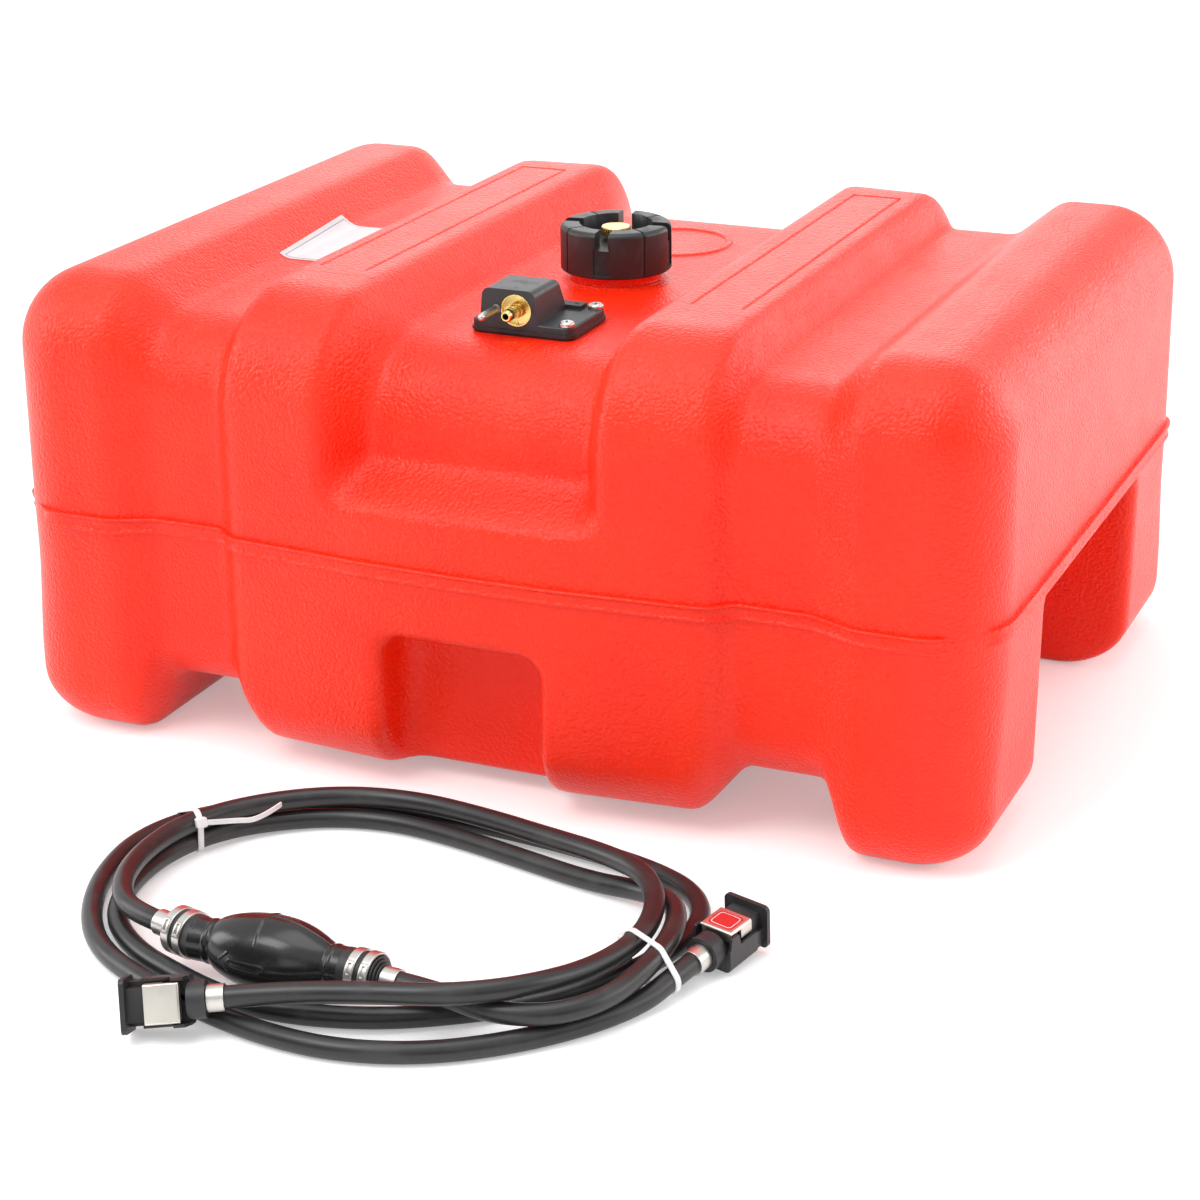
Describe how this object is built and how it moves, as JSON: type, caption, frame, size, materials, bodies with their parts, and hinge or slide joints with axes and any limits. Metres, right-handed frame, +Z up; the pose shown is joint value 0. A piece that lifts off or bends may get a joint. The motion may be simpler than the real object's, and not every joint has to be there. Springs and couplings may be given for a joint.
{
  "type": "portable outboard fuel tank",
  "caption": "Low red portable fuel tank with ridged top, screw cap with vent, pickup fitting and a coiled fuel line with primer bulb and two quick connectors.",
  "frame": {"origin": "middle of the tank's footprint, on the surface it stands on", "axes": "+Z up, +X along the tank's long side, +Y from the front, where the fuel outlet points, to the back"},
  "size_m": [0.618, 0.7718, 0.295],
  "materials": {
    "tank_red": "satin, fine pebble grain",
    "cap_black": "satin",
    "gasket_rubber": "matt",
    "brass": "bright",
    "fitting_black": "satin",
    "filter_mesh": "fine mesh",
    "steel": "satin",
    "spring_copper": "bright",
    "hose_rubber": "smooth",
    "tie_white": "smooth"
  },
  "bodies": {
    "tank": {"tank_lower_left": "tank_red", "tank_lower_middle": "tank_red", "tank_lower_right": "tank_red", "tank_upper_left": "tank_red", "tank_upper_middle": "tank_red", "tank_upper_right": "tank_red", "pickup_gasket": "gasket_rubber", "pickup_housing": "fitting_black", "pickup_screw_1": "steel", "pickup_screw_2": "steel", "pickup_screw_3": "steel", "outlet_nipple": "brass", "nipple_oring": "gasket_rubber", "locator_pin": "steel", "pickup_tube": "fitting_black", "pickup_filter": "filter_mesh", "hose_engine_side": "hose_rubber", "hose_tank_side": "hose_rubber", "primer_bulb": "hose_rubber", "bulb_outlet_fitting": "fitting_black", "bulb_inlet_fitting": "fitting_black", "bulb_band_1": "steel", "bulb_band_2": "steel", "bulb_band_3": "steel", "bulb_band_4": "steel", "hose_clamp_1": "steel", "hose_clamp_2": "steel", "hose_clamp_3": "steel", "hose_clamp_4": "steel", "zip_tie_left": "tie_white", "zip_tie_right": "tie_white", "connector_a_body": "fitting_black", "connector_a_spring": "spring_copper", "connector_a_seal": "gasket_rubber", "connector_b_body": "fitting_black", "connector_b_spring": "spring_copper", "connector_b_seal": "gasket_rubber"},
    "cap_carrier": {"cap_gasket": "gasket_rubber"},
    "cap": {"filler_cap": "cap_black", "cap_liner": "cap_black", "vent_bush": "brass"},
    "vent_seal": {"vent_oring": "gasket_rubber"},
    "vent_knob": {"vent_screw": "brass"},
    "bulb_outlet_check": {"bulb_outlet_valve": "fitting_black"},
    "bulb_inlet_check": {"bulb_inlet_valve": "fitting_black"},
    "connector_a_press": {"connector_a_latch": "steel"},
    "connector_b_press": {"connector_b_latch": "steel"},
    "connector_a_shutoff": {"connector_a_plunger": "fitting_black"},
    "connector_b_shutoff": {"connector_b_plunger": "fitting_black"}
  },
  "joints": [
    {"name": "cap_lift", "type": "slide", "parent": "tank", "child": "cap_carrier", "axis": [0, 0, 1], "range_m": [0, 0.0076]},
    {"name": "cap_turn", "type": "hinge", "parent": "cap_carrier", "child": "cap", "pos_m": [0, 0, 0.278], "axis": [0, 0, 1], "range_deg": [0, 540]},
    {"name": "vent_lift", "type": "slide", "parent": "cap", "child": "vent_seal", "axis": [0, 0, 1], "range_m": [0, 0.0021]},
    {"name": "vent_turn", "type": "hinge", "parent": "vent_seal", "child": "vent_knob", "pos_m": [0, 0, 0.289], "axis": [0, 0, 1], "range_deg": [0, 720]},
    {"name": "bulb_outlet_check_slide", "type": "slide", "parent": "tank", "child": "bulb_outlet_check", "axis": [-0.97, 0.243, 0], "range_m": [0, 0.0015]},
    {"name": "bulb_inlet_check_slide", "type": "slide", "parent": "tank", "child": "bulb_inlet_check", "axis": [-0.9978, 0.067, 0], "range_m": [0, 0.0015]},
    {"name": "connector_a_latch_press", "type": "slide", "parent": "tank", "child": "connector_a_press", "axis": [-0.3385, 0.8622, -0.3769], "range_m": [0, 0.0025], "stiffness_N_per_m": 800, "springref_m": -0.002},
    {"name": "connector_a_shutoff_push", "type": "slide", "parent": "tank", "child": "connector_a_shutoff", "axis": [0.9159, 0.3937, 0.078], "range_m": [0, 0.002], "stiffness_N_per_m": 300, "springref_m": -0.002},
    {"name": "connector_b_latch_press", "type": "slide", "parent": "tank", "child": "connector_b_press", "axis": [-0.0146, 0.0952, -0.9954], "range_m": [0, 0.0025], "stiffness_N_per_m": 800, "springref_m": -0.002},
    {"name": "connector_b_shutoff_push", "type": "slide", "parent": "tank", "child": "connector_b_shutoff", "axis": [-0.2584, -0.962, -0.0882], "range_m": [0, 0.002], "stiffness_N_per_m": 300, "springref_m": -0.002}
  ],
  "couplings": [
    {"joint": "cap_lift", "follows": "cap_turn", "m_per_rad": 0.00079577},
    {"joint": "vent_lift", "follows": "vent_turn", "m_per_rad": 0.00015915}
  ]
}
